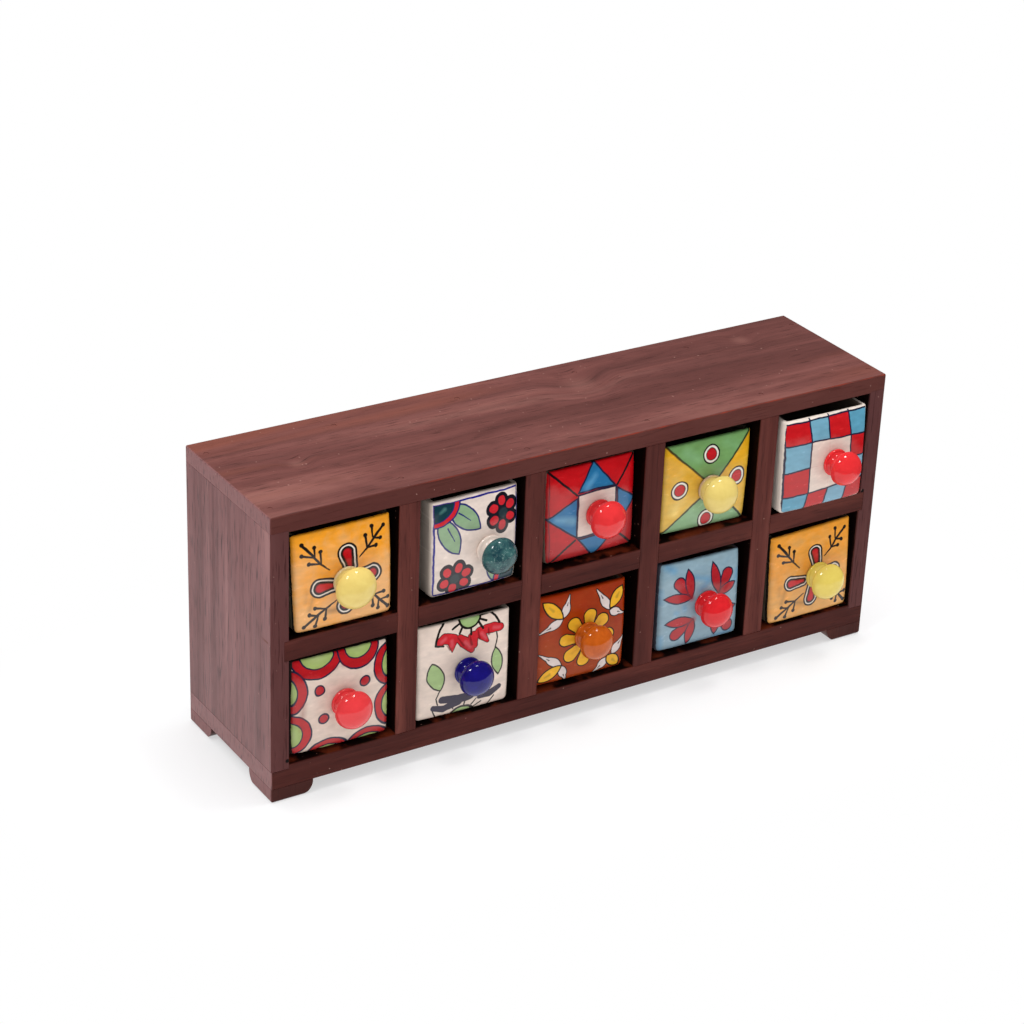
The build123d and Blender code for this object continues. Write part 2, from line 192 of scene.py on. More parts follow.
def wood(name, grain, dark, mid, light, seed, dusty=0.5, worn=None, knots=(), dots=(), gap=None, sheen_veil=0.0,
         sheen=0.5, pored=0.75, edge=None, ends=None, bands=0.0, streaks=0.42):
    """Stained close-grained wood. The grain runs along axis number grain."""
    material, make, shader, here = new_material(name)
    x, y, z = make.parts(here)

    def drawn_out(place, share):
        """Patterns laid out on this are longer along the grain."""
        return make.vector("MULTIPLY", place, tuple(share if i == grain else 1.0 for i in range(3)))

    shifted = make.vector("ADD", here, (seed * 0.37, seed * 0.53, seed * 0.71))
    sideways = tuple(1.0 if i == (grain + 1) % 3 else 0.0 for i in range(3))
    for spot, radius, strength in knots:
        # Grain bends round a knot: it is pushed sideways by a bump that fades with distance.
        push = make.ramp(make.vector("DISTANCE", here, spot), radius, 0.0, 0.0, strength, smooth=True)
        shifted = make.vector("ADD", shifted, make.vector("SCALE", sideways, scale=push))
    broad = drawn_out(shifted, FIGURE_SHARE)
    warp = make.noise(broad, 14.0, 2.0, 0.5, colour=True)
    bent = make.vector("ADD", broad, make.vector("SCALE", warp, scale=0.012))
    figure = make.noise(bent, 42.0, 4.0, 0.55, 0.6)
    lines = make.noise(drawn_out(bent, LINE_SHARE), 260.0, 3.0, 0.6, 0.2)
    pores = make.noise(drawn_out(shifted, PORE_SHARE), PORE_SCALE, 1.0, 0.5)
    mottle = make.noise(drawn_out(shifted, MOTTLE_SHARE), 95.0, 3.0, 0.6)

    make.colour = make.mix(make.ramp(figure, 0.22, 0.62), rgb(dark), rgb(mid))
    make.stain(make.ramp(figure, 0.52, 0.78, 0.0, 0.85), rgb(light))
    make.stain(make.ramp(lines, 0.56, 0.72, 0.0, streaks), rgb(dark, 0.5))
    make.stain(make.ramp(lines, 0.42, 0.28, 0.0, 0.22), rgb(light))
    make.stain(make.ramp(mottle, 0.5, 0.75, 0.0, 0.45), rgb(dark))
    pore = make.ramp(pores, 0.60, 0.69, 0.0, pored)
    make.stain(pore, rgb(dark, 0.3))
    if bands:
        # Broad bands of darker heartwood and of warmer wood run along the board.
        band = make.noise(make.vector("ADD", broad, (3.1, 1.7, 0.4)), 24.0, 2.0, 0.5, 0.8)
        make.stain(make.ramp(band, 0.50, 0.66, 0.0, 0.55 * bands), rgb(dark))
        make.stain(make.ramp(band, 0.48, 0.34, 0.0, bands), WARM_WOOD)
    # Pale patches are painted over the board as a painted reflection of the bright room.
    if sheen_veil:
        patches = make.noise(here, 30.0, 3.0, 0.6)
        make.stain(make.ramp(patches, 0.35, 0.7, sheen_veil * 0.4, sheen_veil), PAINTED_SHEEN_VEIL)
    polish = sheen
    if ends:
        # The board ends are stained to match the sides that they finish flush with.
        at_x, code = ends
        end = make.ramp(make.absolute(x), at_x - 0.0006, at_x - 0.0002)
        make.stain(make.times(end, 0.92), rgb(code))
        end_pores = make.noise(make.vector("MULTIPLY", here, (1.0, 1.0, 0.12)), PORE_SCALE, 1.0, 0.5)
        make.stain(make.times(make.ramp(end_pores, 0.58, 0.68, 0.0, 0.5), end), END_PORE)
        polish = make.ramp(end, 0.0, 1.0, sheen, 0.5)
    if edge:
        # The sawn front edge of the board took more stain than its face.
        at_y, code = edge
        sawn = make.ramp(y, at_y + 0.0009, at_y + 0.0004)
        make.stain(make.times(sawn, 0.75), rgb(code))
        polish = make.ramp(sawn, 0.0, 1.0, sheen, 0.12)
    for spot, radius, _ in knots:
        away = make.vector("DISTANCE", here, spot)
        make.stain(make.ramp(away, radius * 0.5, 0.0, 0.0, 0.35, smooth=True), rgb(light))
    if worn:
        # The front arris lost its stain where it was handled.
        at_y, at_z, from_x = worn
        far = make.larger(make.absolute(make.minus(y, at_y)), make.absolute(make.minus(z, at_z)))
        uneven = make.noise(make.vector("MULTIPLY", here, (0.45, 1.0, 1.0)), 210.0, 4.0, 0.7)
        far = make.plus(far, make.times_plus(uneven, -0.0016, 0.0009))
        handled = make.ramp(x, from_x, from_x + 0.02)
        make.stain(make.times(make.ramp(far, 0.0007, 0.0002, 0.0, 0.8), handled), WORN_WOOD)
    for at_x, at_z, radius in dots:
        away = make.vector("DISTANCE", make.vector("MULTIPLY", here, (1.0, 0.0, 1.0)), (at_x, 0.0, at_z))
        make.stain(make.ramp(away, radius * 1.2, radius * 0.8), NAIL_HOLE)
    if gap:
        # Inside the openings the wood is painted nearly black as painted shade, with bare patches near the
        # front of the floors.
        half_x, low_z, high_z, mouth_y, rear_y, floors = gap
        deep = make.ramp(y, mouth_y + 0.0004, mouth_y + 0.0012)
        inside = (make.minus(half_x, make.absolute(x)), make.minus(z, low_z), make.minus(high_z, z),
                  make.minus(rear_y, y))
        for far in inside:
            deep = make.times(deep, make.ramp(far, -0.00005, 0.00005))
        make.stain(make.times(deep, 0.97), PAINTED_SHADE_BLACK)
        polish = make.ramp(deep, 0.0, 1.0, polish, 0.04)
        for level in floors:
            bare = make.ramp(make.noise(here, 55.0, 3.0, 0.6), 0.50, 0.60)
            bare = make.times(bare, make.ramp(y, mouth_y + 0.013, mouth_y + 0.006))
            bare = make.times(bare, make.ramp(y, mouth_y, mouth_y + 0.001))
            height = make.absolute(make.minus(z, level))
            bare = make.times(bare, make.ramp(height, 0.0008, 0.0004, 0.0, 0.8))
            make.stain(bare, BARE_WOOD)
    if dusty:
        cell = make.add("ShaderNodeTexVoronoi", here)
        cell.node.inputs["Scale"].default_value = 170.0
        chance = make.ramp(make.noise(here, 900.0, 0.0), 0.55, 0.6)
        make.stain(make.times(make.ramp(cell, 0.10, 0.05, 0.0, dusty), chance), DUST)
    height = make.times_plus(pore, -0.6, make.times(lines, 0.5))
    make.dress(shader, (height, 0.4, 0.00018), Roughness=make.ramp(lines, 0.3, 0.7, 0.38, 0.52), IOR=1.4,
               Specular_IOR_Level=polish)
    return material


class Painter(Maker):
    """Lays flat glaze colours over one another on a front. Lengths are millimetres on the front."""

    EDGE = 0.14

    def __init__(self, tree, plane, ground):
        super().__init__(tree, ground)
        self.plane = plane

    def point(self, x, y):
        return self.vector("DISTANCE", self.plane, (x, y, 0.0))

    def oval(self, x, y, rx, ry):
        """Distance in units of the shorter radius, so that reach is that radius."""
        short = min(rx, ry)
        moved = self.vector("SUBTRACT", self.plane, (x, y, 0.0))
        return self.vector("LENGTH", self.vector("MULTIPLY", moved, (short / rx, short / ry, 0.0)))

    def line(self, a, b, at_a=0.0, at_b=0.0):
        """Distance from a straight stroke. at_a and at_b fatten its ends."""
        dx, dy = b[0] - a[0], b[1] - a[1]
        square = dx * dx + dy * dy
        moved = self.vector("SUBTRACT", self.plane, (a[0], a[1], 0.0))
        along = self.vector("DOT_PRODUCT", moved, (dx / square, dy / square, 0.0))
        along = self.add("ShaderNodeClamp", along)
        nearest = self.vector("SCALE", (dx, dy, 0.0), scale=along)
        far = self.vector("DISTANCE", moved, nearest)
        if at_a or at_b:
            far = self.minus(far, self.times_plus(along, at_b - at_a, at_a))
        return far

    def lines(self, *rows):
        """Distance from the nearest of several strokes."""
        return self.join(*(self.line(*row) for row in rows))

    def path(self, *points):
        return self.lines(*zip(points, points[1:]))

    def leaf(self, a, b, half):
        """Pointed leaf from tip a to tip b. The result is zero on its edge."""
        dx, dy = b[0] - a[0], b[1] - a[1]
        length = math.hypot(dx, dy)
        radius = (length * length / 4 + half * half) / (2 * half)
        mx, my = (a[0] + b[0]) / 2, (a[1] + b[1]) / 2
        nx, ny = -dy / length * (radius - half), dx / length * (radius - half)
        return self.minus(self.larger(self.point(mx + nx, my + ny), self.point(mx - nx, my - ny)), radius)

    def side(self, a, b):
        """Signed distance from the straight line through a and b, negative on its left."""
        dx, dy = b[0] - a[0], b[1] - a[1]
        length = math.hypot(dx, dy)
        nx, ny = dy / length, -dx / length
        return self.minus(self.vector("DOT_PRODUCT", self.plane, (nx, ny, 0.0)), nx * a[0] + ny * a[1])

    def polygon(self, *points):
        """Convex polygon given anticlockwise. The result is zero on its edge."""
        return reduce(self.larger, (self.side(a, b) for a, b in zip(points, points[1:] + points[:1])))

    def join(self, *distances):
        return reduce(self.smaller, distances)

    def mask(self, far, reach, strength=1.0, edge=EDGE):
        return self.ramp(far, reach + edge, reach - edge, 0.0, strength)

    def fill(self, far, reach, colour, strength=1.0, edge=EDGE, within=None):
        mask = self.mask(far, reach, strength, edge)
        self.stain(mask if within is None else self.times(mask, within), colour)

    def rings(self, far, *steps, within=None):
        """Widest first: (reach, colour) for each ring."""
        for reach, colour in steps:
            self.fill(far, reach, colour, within=within)

    def smears(self, colour, strength, edge, *rows):
        """Soft strokes of a second tone, each (from, to, reach)."""
        for a, b, reach in rows:
            self.fill(self.line(a, b), reach, colour, strength, edge)


def part_way(a, b, share):
    """The point that lies that share of the way from a to b."""
    return (a[0] * (1 - share) + b[0] * share, a[1] * (1 - share) + b[1] * share)


BLACK = rgb("17120f")
INK = rgb("1b1a3a")
NAVY = rgb("24286e")
CREAM = rgb("e6d2c6")
WHITE = rgb("eee7da")
PALE_RING = rgb("e6dccf")
RED = rgb("c4141e")
BRIGHT_RED = rgb("cf1f2b")
DEEP_RED = rgb("8e1018")
TULIP_RED = rgb("b21421")
SAGE = rgb("8dac84")
TEAL = rgb("123a44")
GREEN = rgb("9dba78")
PLUM = rgb("1b1334")
PETAL = rgb("eeb22a")


def paint_petals(p, fat=1.0):
    """Four red drops ringed black and white, and a berry sprig in each corner."""
    for a, b, reach, strength in (
        ((-17.5, -7.0), (-20.0, -15.0), 0.8, 0.45),
        ((-9.0, -17.5), (-3.5, -18.5), 1.2, 0.55),
        ((-21.5, -4.0), (-22.0, -10.0), 1.0, 0.25),
    ):
        p.smears(rgb("5b4a3a"), strength, 1.6, (a, b, reach))
    drops = (
        ((4.1, 4.7), (2.6, 12.6)),
        ((-5.3, -4.0), (-13.8, -3.6)),
        ((10.5, -2.0), (16.5, -2.1)),
        ((1.8, -9.0), (0.7, -16.7)),
    )
    rings = (3.2 * fat, BLACK), (2.0 * fat, PALE_RING), (1.2 * fat, BLACK), (0.0, DEEP_RED), (-0.5, RED)
    for a, b in drops:
        p.rings(p.line(a, b, 1.1, 2.6 * fat), *rings)
    sprigs = (
        (((-8.2, 5.3), (-13.2, 10.1), (-17.8, 16.1), (-23.2, 22.1)),
         ((-16.0, 14.4, -16.3, 19.8), (-12.6, 10.0, -12.7, 16.7),
          (-16.7, 14.3, -23.6, 16.3), (-12.9, 10.1, -19.6, 11.1)), (-23.2, 22.4)),
        (((9.4, 8.4), (13.8, 12.4), (18.2, 17.5), (23.8, 23.1)),
         ((17.3, 17.7, 16.9, 24.0), (13.9, 13.0, 13.2, 19.6),
          (17.6, 17.0, 21.7, 16.3), (14.5, 12.8, 19.0, 12.9)), (23.8, 23.1)),
        (((-4.4, -12.5), (-10.2, -15.8), (-16.1, -19.4), (-23.4, -23.9)),
         ((-10.6, -16.0, -16.8, -14.8), (-14.8, -19.4, -20.1, -17.8),
          (-10.3, -16.4, -11.5, -21.8), (-15.2, -19.9, -17.1, -24.8)), (-23.4, -23.9)),
        (((12.8, -10.2), (16.8, -14.4), (20.4, -18.7), (25.6, -24.2)),
         ((17.4, -15.1, 23.0, -14.7), (20.8, -19.1, 25.6, -18.3),
          (16.6, -14.8, 16.6, -21.2), (20.0, -18.9, 19.7, -23.6)), (25.6, -24.2)),
    )
    widths = (0.35, 0.62, 0.75, 0.85)
    for stem, twigs, end in sprigs:
        strokes = p.lines(*zip(stem, stem[1:], widths, widths[1:]))
        berries = p.minus(p.point(*end), 1.25)
        for x0, y0, x1, y1 in twigs:
            strokes = p.join(strokes, p.line((x0, y0), (x1, y1), 0.5, 0.72))
            berries = p.join(berries, p.minus(p.point(x1, y1), 1.2))
        p.fill(p.join(strokes, berries), 0.0, BLACK)


def paint_slim_petals(p):
    """The same painting with slimmer drops."""
    paint_petals(p, 0.88)


def paint_quarters(p):
    """Two quartered discs with leaves, two red flowers and a thin blue border."""
    border = p.polygon((-26.4, -26.4), (27.4, -26.6), (27.2, 26.4), (-26.4, 26.2))
    inside = p.mask(border, 0.0)
    p.fill(p.absolute(border), 0.55, rgb("23248a"))
    quarters = (
        (
            (-26.4, 26.2), 16.2, 12.9,
            (((-17.0, 25.0), (3.2, 7.4), 6.2), ((-23.5, 19.0), (-10.2, -4.8), 6.0)),
            (((-10.9, 19.4), (-3.2, 13.4)), ((-17.9, 11.8), (-13.6, 3.7))),
        ),
        ((27.4, -26.6), 14.6, 12.0, (((24.0, -27.5), (8.0, -18.0), 5.0),), ()),
    )
    for (cx, cy), rx, ry, leaves, ribs in quarters:
        for a, b, half in leaves:
            p.rings(p.leaf(a, b, half), (0.4, NAVY), (-0.6, SAGE), within=inside)
        for a, b in ribs:
            p.fill(p.line(a, b, 0.45, 0.25), 0.0, NAVY)
        disc = p.oval(cx, cy, rx, ry)
        short = min(rx, ry)
        rings = (short + 0.5, NAVY), (short - 0.4, BRIGHT_RED), (short - 2.6, NAVY), (short - 3.2, TEAL)
        p.rings(disc, *rings, within=inside)
        shine = p.line((cx + 4.0, cy - 4.5), (cx + 6.5, cy - 3.0), 0.2, 0.5)
        p.fill(shine, 0.4, rgb("5d9488"), 0.6, 0.9, inside)
    flowers = (
        ((18.0, 13.4), ((16.8, 21.0), (22.8, 17.8), (22.9, 10.4), (17.3, 6.0), (11.8, 9.8), (11.4, 17.0))),
        ((-12.6, -19.0), ((-10.3, -12.5), (-5.0, -16.4), (-6.4, -22.6), (-14.2, -24.4), (-19.6, -20.6),
                          (-18.1, -13.8))),
    )
    for middle, petals in flowers:
        # Petals are a little longer than wide, and point at the middle of the flower.
        drops = p.lines(*((petal, part_way(petal, middle, 0.12)) for petal in petals))
        p.fill(p.join(p.minus(p.point(*middle), 1.6), drops), 4.5, rgb("14121f"), within=inside)
        p.fill(drops, 2.35, BRIGHT_RED, within=inside)
        p.fill(p.point(*middle), 2.9, rgb("25373c"), 0.9, 0.5)


def paint_triangles(p):
    """A cream square framed by blue triangles on red, with dark seams."""
    p.smears(
        rgb("c4000c"), 0.5, 5.0,
        ((-20, 24), (-6, 18), 3.0), ((10, 24), (22, 20), 3.0), ((-22, 4), (-14, 12), 2.0),
    )
    seams = p.lines(
        ((-28, 29), (-9.5, 11)), ((28, 29), (16.0, 11.5)),
        ((-28, -29), (-10, -16.5)), ((16.0, -16), (28, -28.5)),
    )
    p.fill(seams, 0.68, rgb("1a0c14"))
    p.fill(p.path((-26.6, 27.5), (-26.8, 0.0), (-25.8, -28.0)), 0.3, rgb("3a1420"), 0.6)
    for triangle in (
        ((-8.2, 12.4), (14.6, 12.0), (1.2, 28.8)),
        ((-9.2, 8.8), (-27.8, 0.0), (-9.2, -14.8)),
        ((-7.8, -16.4), (2.0, -29.3), (13.6, -16.2)),
        ((16.6, 9.6), (17.0, -14.8), (27.8, 1.6)),
    ):
        p.rings(p.polygon(*triangle), (0.65, INK), (-0.4, rgb("2474a6")))
    p.fill(p.line((-3, 14.5), (2, 20), 1.0, 0.4), 1.0, rgb("6cb4dc"), 0.5, 1.4)
    p.fill(p.line((-22, -1), (-12, -4), 0.4, 1.6), 1.0, rgb("78b0c8"), 0.6, 1.6)
    square = p.polygon((-8.7, -14.9), (15.2, -14.9), (15.2, 10.9), (-8.2, 10.6))
    p.rings(square, (0.75, INK), (-0.35, CREAM))


def paint_envelope(p):
    """Green above and below, yellow at the sides, dark seams and ringed dots."""
    middle = (4.0, -2.4)
    p.fill(p.polygon(middle, (31, 32), (-31, 32)), 0.0, rgb("74a260"))
    p.fill(p.polygon(middle, (-33, -31), (33, -33)), 0.0, rgb("86b07e"))
    for a, b, reach, colour, strength in (
        ((-14, 22), (-6, 16), 2.0, "8fc08d", 0.6), ((12, 24), (18, 20), 2.0, "86bb84", 0.45),
        ((-10, -16), (-4, -22), 2.0, "9cc49c", 0.55), ((-20, -14), (-16, -6), 2.5, "f6e089", 0.5),
        ((22, -10), (23, 8), 1.5, "f0bd3c", 0.5),
    ):
        p.smears(rgb(colour), strength, 3.0, (a, b, reach))
    corners = ((-29, 29.5), (28.5, 30), (-28.5, -27.5), (29, -30))
    p.fill(p.lines(*((corner, middle) for corner in corners)), 0.62, rgb("20281c"), 0.92, 0.25)
    for x, y in ((2.0, 18.3), (-17.5, -0.7), (1.0, -22.4), (20.0, 0.8)):
        dot = p.oval(x, y, 5.5, 6.1)
        p.rings(dot, (5.5, BLACK), (4.65, WHITE), (3.55, BLACK), (3.1, RED))


def paint_checks(p):
    """Red and blue checks round a cream middle."""
    grid = (
        ((-31.0, 29.0), (-12.7, 29.0), (0.4, 29.5), (14.6, 30.0), (31.0, 30.0)),
        ((-31.0, 13.4), (-9.8, 13.4), (2.7, 12.8), (17.3, 12.2), (31.0, 11.8)),
        ((-31.0, -3.4), (-10.0, -2.2), (3.0, -2.0), (17.8, -1.6), (31.0, -1.2)),
        ((-31.0, -18.4), (-10.7, -18.2), (3.2, -17.6), (16.8, -16.2), (31.0, -15.2)),
        ((-31.0, -30.0), (-13.2, -30.0), (0.2, -30.0), (13.9, -30.0), (31.0, -30.0)),
    )
    rows = ("RBRB", "BCCR", "RCCB", "BRBR")
    shades = {"B": ("5a9cb6", "72a8be", "7aaac0"), "C": ("e6d6c8",) * 3}
    for r, row in enumerate(rows):
        for c, letter in enumerate(row):
            nw, ne, se, sw = grid[r][c], grid[r][c + 1], grid[r + 1][c + 1], grid[r + 1][c]
            if letter != "R":
                p.fill(p.polygon(sw, se, ne, nw), 0.0, rgb(shades[letter][(r + c) % 3]))
    seams = []
    for r in range(4):
        for c in range(4):
            nw, ne, sw = grid[r][c], grid[r][c + 1], grid[r + 1][c]
            if c and not (c == 2 and r in (1, 2)):
                seams.append((nw, sw))
            if r and not (r == 2 and c in (1, 2)):
                seams.append((nw, ne))
    outside = p.times(p.polygon((-27.7, -33), (33, -33), (33, 27.3), (-27.5, 26.5)), -1.0)
    p.fill(outside, 0.0, rgb("eadccf"))
    border = p.path((-27.4, -28.0), (-27.6, 26.5), (27.0, 27.2))
    p.fill(p.join(p.lines(*seams), border), 0.5, rgb("141a38"))


def paint_scallops(p):
    """Red scallops with green hearts along the edges, and three red dots."""
    arcs = (
        ((-13.3, 29.0), (14.6, 14.0), (9.4, 8.2)),
        ((10.4, 29.5), (12.2, 13.8), (7.8, 7.8)),
        ((-29.0, 9.6), (9.6, 12.6), (4.2, 7.6)),
        ((-29.0, -15.6), (12.2, 11.8), (6.8, 7.4)),
        ((29.0, 13.6), (9.6, 12.4), (4.8, 8.0)),
        ((29.0, -10.6), (9.2, 12.2), (4.8, 8.0)),
        ((-7.2, -29.0), (11.4, 6.8), (6.8, 3.4)),
        ((16.6, -29.0), (11.8, 7.2), (7.4, 3.6)),
    )
    for (x, y), (rx, ry), (gx, gy) in arcs:
        short = min(rx, ry)
        p.rings(p.oval(x, y, rx, ry), (short + 0.5, INK), (short - 0.45, rgb("bc0f1a")))
        inner = p.oval(x, y, gx, gy)
        short = min(gx, gy)
        p.rings(inner, (short + 0.5, INK), (short - 0.3, rgb("a3b96a")))
        p.fill(inner, short * 0.45, rgb("c3d096"), 0.5, short * 0.35)
    p.smears(
        rgb("8e0913"), 0.45, 1.8,
        ((-24, 18.5), (-3, 19.5), 1.2), ((2, 19.5), (16, 19), 1.2), ((-22.5, -12), (-21.5, 2), 1.2),
    )
    for x, y in ((-12.3, 7.9), (14.0, 7.0), (-9.9, -9.4)):
        p.rings(p.point(x, y), (3.3, INK), (2.35, rgb("b81a26")))


def paint_garland(p):
    """A red frilled band, green half-suns, leaves and dark petals."""
    frill = p.lines(
        ((-15.0, 17.6), (-12.0, 19.6), 2.2, 2.7),
        ((-10.6, 19.2), (-6.6, 17.8), 2.8, 3.0),
        ((-7.0, 17.0), (-7.4, 11.0), 3.4, 0.3),
        ((-2.6, 17.2), (-0.6, 15.4), 2.4, 3.0),
        ((0.2, 14.6), (4.4, 9.4), 3.2, 1.7),
        ((5.4, 17.0), (6.2, 11.8), 2.9, 1.9),
        ((9.6, 18.2), (14.2, 12.2), 3.4, 0.8),
        ((13.0, 19.6), (17.0, 19.4), 2.6, 2.8),
        ((17.6, 19.4), (21.8, 18.6), 3.0, 2.2),
    )
    p.rings(frill, (0.3, rgb("3a1016")), (-0.15, rgb("cc222c")))
    folds = (
        ((-10.4, 15.2), (-8.6, 12.6)), ((-3.9, 18.4), (-0.6, 12.9)), ((3.6, 17.6), (4.6, 12.4)),
        ((8.2, 20.0), (9.2, 14.8)), ((14.6, 19.8), (15.0, 16.2)),
    )
    for a, b in folds:
        p.fill(p.line(a, b, 0.1, 0.5), 0.2, rgb("7a0d16"), 0.8, 0.35)
    p.smears(
        rgb("e0707a"), 0.55, 1.0,
        ((-13.6, 18.2), (-11.4, 19.4), 0.7), ((-7.4, 17.0), (-7.2, 14.6), 0.7),
        ((0.6, 14.6), (3.4, 11.2), 0.7), ((10.6, 17.6), (13.2, 14.2), 0.7),
        ((18.0, 19.2), (21.2, 18.6), 0.7),
    )
    thick = p.join(
        p.path((-11.9, 29.0), (-14.5, 25.3), (-16.8, 18.4), (-17.1, 16.2), (-12.6, 15.4)),
        p.path((10.0, 28.4), (16.3, 28.6), (19.1, 26.0), (21.5, 21.5)),
        p.lines(
            ((-3.0, 26.2), (-6.9, 23.9)), ((-1.1, 24.4), (-2.8, 20.4)), ((4.0, 22.6), (4.2, 18.4)),
            ((8.5, 24.9), (11.3, 20.6)), ((9.6, 26.2), (13.4, 24.6)),
        ),
    )
    p.fill(thick, 0.68, BLACK)
    thin = p.join(
        p.path((-14.4, -10.6), (-16.9, -15.9), (-15.6, -19.8)),
        p.path((19.4, 15.8), (19.9, 12.5), (18.8, 6.7)),
        p.lines(
            ((0.6, -23.5), (1.2, -20.5)), ((5.0, -24.6), (8.1, -21.8)), ((6.6, -26.2), (10.9, -24.2)),
            ((-5.9, -24.6), (-7.2, -22.7)), ((15.1, -27.3), (18.8, -22.8)), ((-18.6, -23.0), (-16.2, -28.2)),
        ),
    )
    p.fill(thin, 0.42, BLACK)
    for x, y, rx, ry in ((3.3, 29.0, 6.2, 6.2), (-0.2, -29.4, 6.4, 4.8)):
        short = min(rx, ry)
        sun = p.oval(x, y, rx, ry)
        p.rings(sun, (short + 1.0, BLACK), (short - 0.3, GREEN))
        p.fill(sun, short * 0.3, rgb("c9d6aa"), 0.5, short * 0.4)
    for a, b, half in (((-19.7, 5.6), (-14.4, -10.8), 4.9), ((19.1, 6.6), (21.4, -9.6), 3.3)):
        p.rings(p.leaf(a, b, half), (0.5, BLACK), (-0.35, GREEN))
    dark = p.lines(
        ((-13.0, -17.2), (-3.6, -19.1), 2.3, 2.7), ((-3.6, -19.1), (4.2, -18.5), 2.7, 2.8),
        ((-18.4, -21.4), (-11.8, -23.1), 1.7, 2.1), ((-11.8, -23.1), (-2.9, -20.6), 2.1, 2.6),
        ((9.8, -21.4), (16.0, -20.6), 1.2, 2.3), ((16.0, -20.6), (21.9, -17.6), 2.3, 1.6),
    )
    p.fill(dark, 0.0, PLUM)


def paint_daisy(p):
    """A yellow daisy round the knob and a white bud sprig in each corner."""
    cx, cy = 3.3, -3.3
    p.smears(rgb("a03404"), 0.55, 5.0, ((-14, 20), (12, 22), 4.0), ((-22, 2), (-16, 8), 2.0))
    for degrees, far in (
        (83, 14.0), (44, 13.3), (128, 13.6), (174, 13.6), (221, 13.6), (263, 13.6), (308, 13.6), (355, 13.6),
    ):
        angle = math.radians(degrees)
        near, middle, end = ((cx + r * math.cos(angle), cy + r * math.sin(angle)) for r in (8.6, 11.5, far))
        p.rings(p.line(near, end, 2.6, 3.7), (0.75, BLACK), (0.0, PETAL))
        p.smears(rgb("c07d14"), 0.5, 1.2, (near, middle, 0.5))
    sprigs = (
        ((-12.1, 12.6), (-24.9, 24.6), ((-11.4, 13.0), (-8.2, 26.2)), ((-12.5, 12.2), (-26.8, 5.8))),
        ((17.9, 11.9), (25.4, 24.4), ((17.4, 11.3), (8.8, 25.4)), ((17.6, 10.2), (27.4, 7.0))),
        ((-12.5, -17.3), (-26.4, -25.2), ((-12.5, -17.0), (-26.3, -7.8)), ((-12.7, -17.6), (-9.0, -28.0))),
        ((17.4, -18.4), (24.8, -26.0), ((20.4, -18.2), (27.2, -7.4)), ((17.8, -19.7), (8.4, -27.8))),
    )
    for base, tip, one, two in sprigs:
        for a, b in (one, two):
            # White leaves are short brush dabs with a stray tip.
            middle = part_way(a, b, 0.55)
            shape = p.join(p.leaf(a, part_way(a, b, 0.72), 2.5), p.line(middle, b, 1.5, 0.2))
            p.rings(shape, (0.5, BLACK), (-0.1, rgb("dfd0ca")))
            p.fill(p.line(middle, part_way(a, b, 0.7), 0.45, 0.15), 0.0, BLACK, 0.85)
        p.rings(p.leaf(base, tip, 3.5), (0.5, BLACK), (-0.35, PETAL))
        vein = p.line(part_way(base, tip, 0.5), part_way(base, tip, 0.7), 0.9, 0.4)
        p.fill(vein, 0.0, rgb("8f7a2a"), 0.5, 0.5)


def paint_tulips(p):
    """Four red tulips, one in each corner, on a blue wash."""
    p.smears(
        rgb("4f97c4"), 0.55, 1.8,
        ((-23.5, 26.5), (-19.0, 23.5), 2.0), ((-11.0, -1.7), (-10.4, -3.4), 0.9),
        ((-16.8, -4.2), (-15.2, -4.8), 0.8), ((0.0, 7.7), (6.0, 12.2), 1.4),
        ((-26.6, -19.0), (-26.6, -27.0), 1.2), ((24.5, 8.0), (26.5, 14.0), 1.6),
        ((12.0, -26.0), (24.0, -25.0), 1.4), ((-4.0, 16.0), (4.0, 14.0), 1.4),
        ((-27.5, 4.0), (-27.0, 12.0), 0.8),
    )
    tulips = (
        ((-5.9, 3.4), (-14.9, 14.6), (-9.1, 22.4), (-25.2, 6.4)),
        ((13.4, 2.2), (19.2, 14.2), (8.3, 23.2), (24.6, 7.4)),
        ((-4.2, -11.0), (-16.2, -18.6), (-23.6, -10.3), (-8.2, -26.2)),
        ((12.2, -10.3), (20.7, -20.5), (25.6, -8.3), (11.7, -24.4)),
    )
    rings = (0.6, INK), (-0.3, TULIP_RED)
    for base, ball, tip_a, tip_b in tulips:
        p.rings(p.line(part_way(base, ball, 0.55), ball, 2.8, 3.6), *rings)
        for tip in (tip_a, tip_b):
            p.rings(p.leaf(base, tip, 3.0), *rings)
        p.fill(p.line(base, part_way(base, ball, 0.5), 2.2, 1.0), 0.0, rgb("9c0d19"), 0.55, 1.0)


Front = namedtuple("Front", "paint ground wash walls reach rim shine haze", defaults=(0.52, 0.04))
FRONTS = {
    # paint, ground colour, second wash colour, glaze on the walls, reach of the paint on them, rim line,
    # how much the lower part mirrors the room, how much a painted reflection pales the colour there
    1: Front(paint_petals, "f6a024", "ecae68", "8f866e", 2.6, "15110e"),
    2: Front(paint_quarters, "f2e0d4", "e4d3c6", "e2d1c1", 1.6, None, shine=0.62),
    3: Front(paint_triangles, "cc0c16", "b80e18", "8d8272", 2.2, None),
    4: Front(paint_envelope, "e8ac1c", "e8ba46", "4a4a3c", 2.6, "1b2418"),
    5: Front(paint_checks, "c8141b", "bc1018", "e8dacd", 1.8, None),
    6: Front(paint_scallops, "e6d3c4", "dcc8b8", "6a6058", 1.6, "2a2220", shine=0.45),
    7: Front(paint_garland, "ebd7c8", "e2cfc0", "e2d1c1", 1.6, None),
    8: Front(paint_daisy, "9c2e04", "a03e0e", "7a3a22", 2.6, None, shine=0.22, haze=0.01),
    9: Front(paint_tulips, "93b0bc", "86a5b5", "5a5a66", 2.2, None),
    10: Front(paint_slim_petals, "ea9a30", "e2a65a", "6d6455", 2.6, "15110e", shine=0.4),
}
